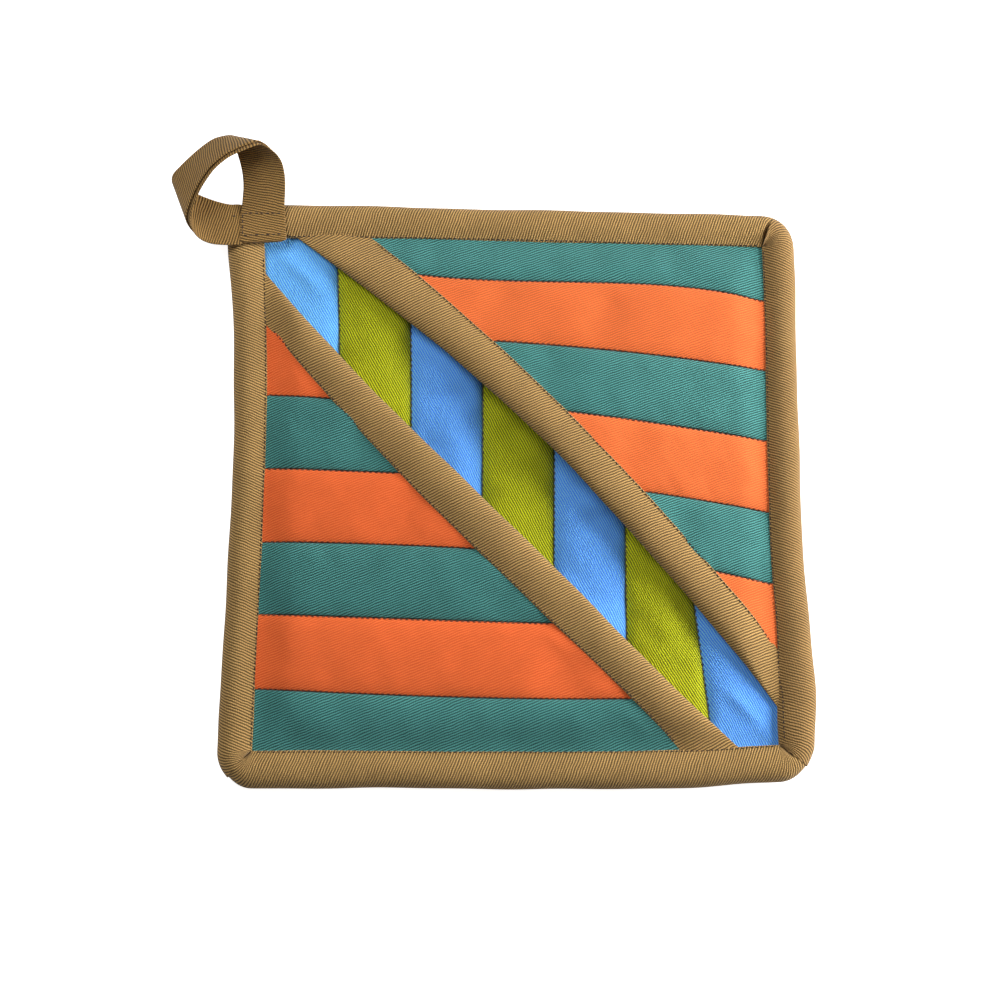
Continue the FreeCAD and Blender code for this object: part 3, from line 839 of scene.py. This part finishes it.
def row_y(row, x):
    """The Y of a row at each X. Beyond the ends of the seams it runs level."""
    upper, lower, share = row
    inside = np.clip(x, -60, 88)
    return upper(inside) * (1 - share) + lower(inside) * share


def pocket_grid(pocket, inward):
    """Drawn places of the pocket's grid: rows across the stripes, columns from leg to mouth."""
    lead = np.array([INNER + 7.5, INNER + 3.5])  # runs on under the binding
    places = []
    for row in pocket_rows(pocket):
        y = row_y(row, np.full(STRIPE_COLUMNS, 60.0))
        for _ in range(4):  # each round brings the row's end closer to the mouth's line
            end = mouth_x(pocket, y[-1], inward)
            x = np.concatenate([lead, np.linspace(INNER, end, STRIPE_COLUMNS - 2)])
            y = row_y(row, x)
        places.append(np.stack([x, y], -1))
    return np.array(places)


print("rows of a pocket's grid:", len(pocket_rows(POCKETS["finger"])))


def ridge_blend(piece, key):
    """Bakes the piece's place into its points. The way towards the side panel is worked out, but
    nothing bends over the ridge.
    """
    pocket = POCKETS[key]
    along_x, along_y = pocket["ridge"]
    towards_side = np.array([along_y, -along_x, 0]) / math.hypot(along_x, along_y)
    towards_side = towards_side * pocket["turn"]
    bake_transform(piece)


def panels(key, *names):
    return [f"{key}_{name}_{panel}" for name in names for panel in ("end", "side")]


def declare_cut(cut):
    """Turns a cut into metres, and does nothing more with it."""
    cut = cut * MM


# %% Stripes
stripes = {}
for key, pocket in POCKETS.items():
    grid = pocket_grid(pocket, 5.0)
    x, y = grid[..., 0], grid[..., 1]
    top = tent(pocket, x, y) + stack(x, y)
    share = (np.arange(len(grid)) % STRIPE_ROWS) / STRIPE_ROWS
    rise = np.sin(np.pi * share)[:, None] ** 0.7
    away = smooth((INNER - np.maximum(x, y)) / 8)
    full = stack(x, y) / 3
    drawn = np.stack([x, y, top + 0.45 * rise * away - 0.25 * full], -1)
    pinned = np.zeros(top.shape, bool)
    pinned[::STRIPE_ROWS] = True
    pinned |= (x > INNER - 0.5) | (y > INNER - 0.5)
    pinned[:, -6:] = True
    puffed = puff(pocket_place(pocket, drawn), pinned, 3.0, 0.012, 0.7)
    for i in range(STRIPES):
        rows_of = slice(i * STRIPE_ROWS, (i + 1) * STRIPE_ROWS + 1)
        places, cut = puffed[rows_of].copy(), grid[rows_of] * pocket["turn"]
        if i > 0:
            places[0, :, 2] -= 0.4 * full[rows_of][0] * MM
            places[0, :, 1] += 0.12 * pocket["turn"] * MM
        if i < STRIPES - 1:
            places[-1, :, 2] -= 0.4 * full[rows_of][-1] * MM
            places[-1, :, 1] -= 0.12 * pocket["turn"] * MM
        stripe = cloth_grid(f"{key}_pocket_stripe_{i + 1}", places[::-1, ::-1], cut[::-1, ::-1])
        thicken(stripe, 0.5)
        soften(stripe)
        # the thumb pocket takes the orange painted deeper, as painted shade
        orange = orange_twill if key == "finger" else shaded_orange_twill
        dress(stripe, orange if i % 2 else teal_twill)
        if i < OVER_RIDGE:
            ridge_blend(stripe, key)
            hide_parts(*panels(key, f"stripe_{i + 1}"))
        else:
            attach(stripe, f"{key}_side_panel")
            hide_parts(f"{key}_stripe_{i + 1}_side")
        declare_cut(cut)
        stripes[key, i + 1] = stripe
print("stripes:", len(stripes))

# %% Pocket batting and lining
for key, pocket in POCKETS.items():
    grid = pocket_grid(pocket, 7.0)[::2, ::2]
    x, y = np.minimum(grid[..., 0], INNER + 3), np.minimum(grid[..., 1], INNER + 3)
    under = tent(pocket, x, y)
    full = stack(x, y)
    low = pocket_place(pocket, np.stack([x, y, under + 0.10 * full], -1))
    high = pocket_place(pocket, np.stack([x, y, under + 0.42 * full], -1))
    rings = np.concatenate([high, low[:, ::-1]], 1)
    fill = cloth_roll(f"{key}_pocket_batting", rings, ring_cut(-grid[:, 0, 1], rings),
                      softened=False)
    dress(fill, batting_fill)
    ridge_blend(fill, key)
    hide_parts(*panels(key, "batting"))
    grid = pocket_grid(pocket, 9.5)[::2, 1:]
    x, y = grid[..., 0], grid[..., 1]
    places = pocket_place(pocket, np.stack([x, y, tent(pocket, x, y)], -1))
    inside = cloth_grid(f"{key}_pocket_lining", places, grid * pocket["turn"])
    thicken(inside, 0.3)
    dress(inside, lining_cloth)
    ridge_blend(inside, key)
    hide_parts(*panels(key, "lining"))
    declare_cut(grid)
    print("made", fill.name, "and", inside.name)

# %% [markdown]
# ## Mouth bands
#
# A tape is folded over the raw edge of each mouth, in the same way as on the pad's edge. It is
# a soft roll: a groove along its stitches, a crown, a round free edge, and a flat underside
# that lies on the lining inside.

# %% A band's section
# Each pair is a place across the band from its sewn edge, as a share of its width, and a height
# in mm: over the pocket's cloths for the top, and over the tent for the underside.
BAND_TOP = np.array([
    (0.0, -0.9), (0.0, 0.20), (0.02, 0.42), (0.05, 0.36), (0.10, 0.60), (0.24, 1.15),
    (0.42, 1.50), (0.60, 1.50), (0.78, 1.10), (0.91, 0.30), (0.98, -0.7), (1.0, -1.9)])
BAND_UNDERSIDE = np.array([
    (0.975, -0.15), (0.90, -0.55), (0.75, -0.62), (0.55, -0.6), (0.35, -0.55), (0.15, -0.45),
    (0.04, -0.1)])
print("points of a band's section:", len(BAND_TOP) + len(BAND_UNDERSIDE))

# %% Mouth bands


def mouth_band(key):
    """The band along one mouth: rings across it, over its crown and back below."""
    pocket = POCKETS[key]
    along = np.linspace(-127, 127, 140)
    sewn, free = (edge[:, None] for edge in band_edges(pocket, along))
    x, y = mouth_place(along[:, None], sewn - BAND_TOP[:, 0] * (sewn - free))
    plump = 1 + 0.22 * wander(along * 1.3, pocket["seed"] + 2)[:, None]
    full = smooth((from_leg(x, y) + 2) / 16)  # the band is flatter near the legs
    thick = stack(x, y)
    top_rise = BAND_TOP[:, 1]
    rise = top_rise * (0.35 + 0.65 * full) * np.where(top_rise > 0.6, plump, 1)
    top = tent(pocket, x, y) + thick + rise * np.where(top_rise < 0, thick / 3.0, 1)
    low_x, low_y = mouth_place(along[:, None], sewn - BAND_UNDERSIDE[:, 0] * (sewn - free))
    full = smooth((from_leg(low_x, low_y) + 2) / 16)
    low = tent(pocket, low_x, low_y) + BAND_UNDERSIDE[:, 1] * full
    drawn = np.concatenate([np.stack([x, y, top], -1), np.stack([low_x, low_y, low], -1)], 1)
    drawn[..., :2] = np.minimum(drawn[..., :2], INNER + 6.5)
    rings = pocket_place(pocket, drawn)
    band = cloth_roll(f"{key}_mouth_roll", rings, ring_cut(along, rings))
    dress(band, tape_twill)
    ridge_blend(band, key)
    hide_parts(*panels(key, "mouth_band"))
    return band


bands = {key: mouth_band(key) for key in POCKETS}
print("mouth bands:", sorted(bands))

# %% [markdown]
# ## Hanging loop
#
# The loop is a doubled tape. It leaves the corner flat, curls up on its edge, and comes back
# to be sewn down across the corner with a box of stitches. A curve with a bevel would leave
# the twist of the tape to chance, so it is set out by its two edges, one pair of points for
# each station, and a spline runs through them.

# %% The loop's two edges
LOOP = np.array([
    ((-96.2, 86.8, 9.3), (-96.4, 100.4, 9.3)), ((-98.4, 86.6, 9.5), (-98.4, 100.6, 9.5)),
    ((-102.1, 86.4, 9.8), (-101.3, 100.5, 9.8)),
    ((-107.4, 86.7, 10.6), (-106.2, 101.6, 10.2)), ((-111.4, 88.1, 12.2), (-111.9, 103.6, 10.8)),
    ((-113.8, 90.5, 14.4), (-117.1, 105.8, 11.8)), ((-114.6, 93.3, 17.2), (-120.3, 107.5, 12.8)),
    ((-113.4, 96.9, 20.0), (-120.4, 110.2, 13.4)), ((-111.0, 101.7, 22.5), (-118.0, 112.9, 13.6)),
    ((-108.4, 105.6, 24.0), (-114.8, 116.1, 13.6)), ((-105.2, 109.6, 25.0), (-111.1, 119.4, 13.7)),
    ((-101.1, 113.1, 25.4), (-107.0, 122.4, 13.8)), ((-97.4, 115.2, 25.4), (-103.8, 123.5, 13.8)),
    ((-93.6, 117.0, 25.0), (-101.1, 124.0, 13.4)), ((-90.0, 118.6, 24.0), (-99.3, 123.5, 13.2)),
    ((-87.7, 118.3, 22.4), (-98.8, 121.5, 13.3)), ((-86.0, 117.4, 20.6), (-98.4, 119.2, 13.5)),
    ((-84.3, 116.2, 18.6), (-97.8, 117.0, 13.6)), ((-82.9, 114.2, 16.4), (-97.1, 114.3, 13.2)),
    ((-82.2, 111.1, 14.2), (-96.4, 110.5, 12.4)), ((-82.0, 107.2, 12.5), (-96.2, 106.4, 11.6)),
    ((-82.2, 103.6, 11.3), (-96.5, 102.7, 10.9)), ((-82.4, 100.2, 10.5), (-96.8, 99.9, 10.3)),
    ((-82.3, 97.1, 9.7), (-97.3, 97.1, 9.8)), ((-82.0, 91.7, 9.3), (-97.4, 91.7, 9.6)),
    ((-81.7, 87.3, 8.9), (-97.4, 86.4, 9.4))])
print("stations of the loop:", len(LOOP))

# %% A tape between two edges


def spline(points, per_span):
    """A smooth line through every point (Catmull-Rom), with so many steps in each span."""
    padded = np.concatenate([2 * points[:1] - points[1:2], points, 2 * points[-1:] - points[-2:-1]])
    t = (np.arange(per_span) / per_span).reshape(-1, *[1] * (points.ndim - 1))
    parts = []
    for p0, p1, p2, p3 in zip(padded, padded[1:], padded[2:], padded[3:]):
        parts.append(p1 + 0.5 * t * (p2 - p0 + t * (2*p0 - 5*p1 + 4*p2 - p3
                                                    + t * (3 * (p1 - p2) + p3 - p0))))
    return np.concatenate(parts + [points[None, -1]])


def tape_roll(name, edges, thickness):
    """A doubled tape between two edge lines, with a slit where its two layers meet."""
    near, far = edges[:, 0], edges[:, 1]
    middle = (near + far) / 2
    run = np.gradient(middle, axis=0)
    wide = far - near
    face = np.cross(run, wide)
    face /= np.linalg.norm(face, axis=1, keepdims=True)
    length = np.concatenate([[0], np.cumsum(np.linalg.norm(np.diff(middle, axis=0), axis=1))])
    half = (thickness / 2 * (1 + 0.35 * smooth((length - length[-1] + 4.2) / 0.8)))[:, None]
    section = [(0.03, 0.35), (0.03, 0.8), (0.05, 1), (0.11, 0.95), (0.3, 1.05), (0.5, 1.1),
               (0.7, 1.05), (0.92, 0.95), (0.98, 1), (1.0, 0.8), (1.0, 0.32), (0.91, 0.1),
               (0.91, -0.1), (1.0, -0.32), (1.0, -0.8), (0.98, -1), (0.92, -0.95), (0.7, -1.0),
               (0.5, -1.0), (0.3, -1.0), (0.04, -0.95), (-0.03, -1), (-0.05, -0.7),
               (-0.04, -0.3), (0.10, -0.12), (0.10, 0.15)]
    rings = np.stack([near + wide * share + face * half * up for share, up in section], 1) * MM
    return cloth_roll(name, rings, ring_cut(length, rings)), length


# %% Loop tape
loop, loop_length = tape_roll("loop_tape", spline(LOOP, 4), 1.7)
# the loop takes the tape painted darker, as painted shade
dress(loop, shaded_loop_twill)
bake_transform(loop)
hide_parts("hanging_loop", "loop_sewn_end")
print("loop tape length", round(float(loop_length[-1]), 1), "mm")

# %% [markdown]
# ## Stitches
#
# A stitch is a short dash of thread that sinks a little into the cloth. A cylinder is cut
# across twice and its ends are drawn in and down, once, and each seam gets copies of it. A ray
# cast on the cloth gives the height and the slope of each stitch, so the rows follow every
# puff. The binding's stitches come out on the back too, where the rays are cast from below.

# %% One stitch
bpy.ops.object.select_all(action="DESELECT")
bpy.ops.mesh.primitive_cylinder_add(vertices=6, radius=0.5, depth=1, end_fill_type="TRIFAN",
                                    rotation=(0, math.pi / 2, 0))
stitch = bpy.context.active_object
bpy.ops.object.transform_apply(location=True, rotation=True, scale=True)
bpy.ops.object.mode_set(mode="EDIT")
bpy.ops.mesh.select_all(action="SELECT")
bpy.ops.mesh.bisect(plane_co=(0.3, 0, 0), plane_no=(1, 0, 0))
bpy.ops.mesh.select_all(action="SELECT")
bpy.ops.mesh.bisect(plane_co=(-0.3, 0, 0), plane_no=(1, 0, 0))
bpy.ops.object.mode_set(mode="OBJECT")
stitch_points = np.array([v.co for v in stitch.data.vertices])
tips = np.abs(stitch_points[:, 0]) > 0.4
stitch_points[tips, 1:] *= 0.55
stitch_points[tips, 2] -= 0.35
stitch_faces = [tuple(p.vertices) for p in stitch.data.polygons]
bpy.data.objects.remove(stitch)
print("faces of a stitch:", len(stitch_faces))

# %% Sew a line of stitches


def surface_of(*pieces):
    """A ray-castable copy of some pieces' surfaces."""
    points, faces = [], []
    for piece in pieces:
        start = len(points)
        points += [v.co.copy() for v in piece.data.vertices]
        faces += [[start + i for i in p.vertices] for p in piece.data.polygons]
    return BVHTree.FromPolygons(points, faces)


def stitch_ends(line, stitch_length, gap):
    """The two ends of each stitch along a line, in metres."""
    steps = np.linalg.norm(np.diff(line[:, :2], axis=0), axis=1)
    length = np.concatenate([[0], np.cumsum(steps)])
    count = max(int(length[-1] / ((stitch_length + gap) * MM)), 1)
    for k in range(count):
        middle = (k + 0.5) * length[-1] / count
        yield [[np.interp(middle + s * stitch_length * MM / 2, length, line[:, c])
                for c in (0, 1)] for s in (-1, 1)]


def sew(name, lines, surface, thread, stitch_length, gap, thickness, sink, face=1):
    """One piece of stitches along settled lines (in metres), laid on a surface. The sizes are
    in mm, and sink is a share of the thickness. A face of -1 sews them on the underside."""
    points, faces = [], []
    thick = thickness * MM
    for line in lines:
        for ends in stitch_ends(line, stitch_length, gap):
            laid = [surface.ray_cast(Vector((x, y, 0.06 * face)), Vector((0, 0, -face)))
                    for x, y in ends]
            if any(hit[0] is None for hit in laid):
                continue
            run = laid[1][0] - laid[0][0]
            centre = (laid[1][0] + laid[0][0]) / 2
            up = (laid[0][1] + laid[1][1]).normalized()
            if run.length > stitch_length * MM * 1.6 or up.z * face < 0.3:
                continue  # the stitch would hang over an edge
            side = up.cross(run).normalized()
            up = run.cross(side).normalized()
            start = len(points)
            for px, py, pz in stitch_points:
                points.append(centre + run * px + side * thick * py
                              + up * thick * (pz + 0.5 - sink))
            faces += [tuple(start + i for i in f) for f in stitch_faces]
    mesh = bpy.data.meshes.new(name)
    mesh.from_pydata(points, [], faces)
    piece = bpy.data.objects.new(name, mesh)
    bpy.context.scene.collection.objects.link(piece)
    select_only(piece)
    bpy.ops.object.mode_set(mode="EDIT")
    bpy.ops.mesh.select_all(action="SELECT")
    bpy.ops.mesh.normals_make_consistent(inside=False)
    bpy.ops.object.mode_set(mode="OBJECT")
    bpy.ops.object.shade_smooth()
    return dress(piece, thread)


# %% Stitches of the pockets
for key, pocket in POCKETS.items():
    crossing, riding = [], []
    for i, seam in enumerate(pocket["seams"]):
        curve = seam_curve(seam)
        into_orange = -1.0 if i % 2 == 0 else 1.0
        start = mouth_x(pocket, curve(seam[0][0]), 0)
        x = np.linspace(start + 1, INNER - 0.5, 80)
        y = curve(x) + into_orange * 0.35
        line = pocket_place(pocket, np.stack([x, y, 0 * x], -1))
        (crossing if i < OVER_RIDGE else riding).append(line)
    surface = surface_of(*(stripes[key, i + 1] for i in range(STRIPES)))
    upper = sew(f"{key}_seam_stitches_upper", crossing, surface, red_thread, 1.1, 0.8, 0.34, 0.36)
    ridge_blend(upper, key)
    lower = sew(f"{key}_seam_stitches_lower", riding, surface, red_thread, 1.1, 0.8, 0.34, 0.36)
    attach(lower, f"{key}_side_panel")
    along = np.linspace(-112, 112, 240)
    x, y = mouth_place(along, band_edges(pocket, along)[0] - 0.55)
    inside = (x < INNER - 2) & (y < INNER - 2)
    line = pocket_place(pocket, np.stack([x, y, 0 * x], -1)[inside])
    band_stitches = sew(f"{key}_mouth_stitches", [line], surface_of(bands[key]), dark_thread,
                        0.95, 0.65, 0.44, 0.28)
    ridge_blend(band_stitches, key)
    print(key, "pocket: faces of its stitches",
          sum(len(piece.data.polygons) for piece in (upper, lower, band_stitches)))

# %% Stitches of the face seams
face_pieces = [piece for piece in bpy.data.objects if "_face_" in piece.name]
seam_lines = []
for i in range(1, STRIPS):
    along = np.linspace(-INNER + 2, INNER - 2, 120)
    seam_x = np.full(120, i * STRIP - INNER)
    places = np.stack([seam_x + seam_lean(seam_x, along) + 0.3, along, 0 * along], -1)
    seam_lines.append(settle(places))
face_stitches = sew("face_seam_stitches", seam_lines, surface_of(*face_pieces), green_thread,
                    1.2, 1.1, 0.30, 0.30)
across_fold(face_stitches)
print("faces of the face's stitches:", len(face_stitches.data.polygons))

# %% Stitches of the edge binding
BACK_ROW = 1.3  # the row on the back lies this much further out
edge_lines, back_lines = [], []
for key, side in SIDES.items():
    out, on = np.array(side["out"], float), np.array(side["on"], float)
    along = np.linspace(-INNER + 1.5, INNER - 1.5, 120)
    if key == "left":
        along = along[along > -INNER + 6]
    inset = 0.45 + (1.4 * smooth((-along - 64) / 10) if key == "right" else 0 * along)
    for lines, off in ((edge_lines, inset), (back_lines, inset + BACK_ROW)):
        places = out * (INNER + off[:, None]) + on * along[:, None]
        lines.append(settle(np.concatenate([places, 0 * places[:, :1]], 1)))
edge_stitches = sew("edge_stitches", edge_lines, surface_of(*rolls.values()), dark_thread,
                    0.95, 0.75, 0.42, 0.30)
across_fold(edge_stitches)
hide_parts(*both_halves("pad_stitching"))
back_stitches = sew("back_edge_stitches", back_lines, surface_of(*rolls.values()), dark_thread,
                    1.3, 0.6, 0.42, 0.40, -1)
across_fold(back_stitches)
print("faces of the binding's stitches:",
      len(edge_stitches.data.polygons) + len(back_stitches.data.polygons))

# %% Box stitch of the loop
# three sides of a box, and a short row beside it
box = np.array([(-96.5, 97.2), (-96.4, 89.2), (-82.6, 89.8), (-82.9, 97.2), (-96.5, 97.2)]) * MM
short_row = np.array([(-101.2, 96.2), (-97.8, 96.2)]) * MM
box_stitches = sew("box_stitches", [box[:2], box[1:3], box[3:5], short_row], surface_of(loop),
                   dark_thread, 1.2, 0.7, 0.42, 0.33)
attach(box_stitches, "finger_half")
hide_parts("loop_box_stitch")
print("faces of the loop's stitches:", len(box_stitches.data.polygons))

# %% [markdown]
# ## Floor, light and camera
#
# The mitt lies on a plain white floor. A soft lamp low down at the right rakes over the
# rolls and the twill, as daylight from a window does, and a weaker one high at the upper left
# fills the other side. A pale world softens the shade and is brighter from below, so that the
# back can be seen too: the floor can't be seen from behind, and it lets rays shorter than
# 5 mm through, because the back nearly touches it. The camera looks down from a little in
# front, as one does at a thing on a table.

# %% Floor
bpy.ops.object.select_all(action="DESELECT")
bpy.ops.mesh.primitive_plane_add(size=6, location=(0, 0, -0.0004))
floor = bpy.context.active_object
floor.name = "floor"
floor_white, tree = new_material("floor_white")
path = node(tree, "ShaderNodeLightPath")
matt = node(tree, "ShaderNodeBsdfDiffuse", {"Color": (0.85, 0.85, 0.85, 1)})
glow = node(tree, "ShaderNodeEmission", {"Color": (1, 1, 1, 1), "Strength": 0.88})
seen = node(tree, "ShaderNodeAddShader", {0: matt.outputs[0], 1: glow.outputs[0]})
shown = node(tree, "ShaderNodeMixShader", {0: path.outputs["Is Camera Ray"], 1: matt.outputs[0],
                                           2: seen.outputs[0]})
behind = node(tree, "ShaderNodeNewGeometry")
near = combine(tree, "LESS_THAN", path.outputs["Ray Length"], 0.005)  # light from below
open_floor = combine(tree, "MAXIMUM", behind.outputs["Backfacing"], near)
clear = node(tree, "ShaderNodeBsdfTransparent")
final = node(tree, "ShaderNodeMixShader", {0: open_floor,
                                           1: shown.outputs[0], 2: clear.outputs[0]})
node(tree, "ShaderNodeOutputMaterial", {"Surface": final.outputs[0]})
floor.data.materials.append(floor_white)
print("floor at", floor.location.z / MM, "mm")

# %% World
ROOM = 0.145  # the world's strength from above
BELOW = 0.62  # what it gains from below
world = bpy.data.worlds.new("pale_room")
bpy.context.scene.world = world
world.use_nodes = True
tree = world.node_tree
tree.nodes.clear()
path = node(tree, "ShaderNodeLightPath")
towards = node(tree, "ShaderNodeTexCoord").outputs["Generated"]
height = node(tree, "ShaderNodeSeparateXYZ", {0: towards}).outputs["Z"]
below = combine(tree, "LESS_THAN", height, 0.0)
strength = combine(tree, "ADD", combine(tree, "MULTIPLY", below, BELOW), ROOM)
room_light = node(tree, "ShaderNodeBackground", {"Color": (1, 1, 1, 1), "Strength": strength})
white = node(tree, "ShaderNodeBackground", {"Color": (1, 1, 1, 1), "Strength": 1.0})
both = node(tree, "ShaderNodeMixShader", {0: path.outputs["Is Camera Ray"],
                                          1: room_light.outputs[0], 2: white.outputs[0]})
node(tree, "ShaderNodeOutputWorld", {"Surface": both.outputs[0]})

# %% Lamps


def lamp(name, place, size, power):
    """A square lamp that points at the middle of the pad."""
    data = bpy.data.lights.new(name, "AREA")
    data.size = size
    data.energy = power
    light = bpy.data.objects.new(name, data)
    bpy.context.scene.collection.objects.link(light)
    light.location = place
    light.rotation_euler = (-Vector(place)).to_track_quat("-Z", "Y").to_euler()


lamp("window_lamp", (0.694, 0.122, 0.256), 0.40, 9.6)
lamp("fill_lamp", (-0.310, 0.369, 0.574), 0.40, 3.0)
print("lamps:", len(bpy.data.lights))

# %% Camera
TILT = math.radians(8)
DISTANCE = 0.75
aim = Vector((-0.0063, -0.0028, 0.0))
camera_data = bpy.data.cameras.new("camera")
camera_data.sensor_width = 36
camera_data.lens = 77.4
camera = bpy.data.objects.new("camera", camera_data)
bpy.context.scene.collection.objects.link(camera)
camera.location = aim + DISTANCE * Vector((0, -math.sin(TILT), math.cos(TILT)))
camera.rotation_euler = (TILT, 0, 0)
bpy.context.scene.camera = camera
bpy.context.scene.view_settings.view_transform = "Standard"
print("camera at", tuple(round(c, 3) for c in camera.location))
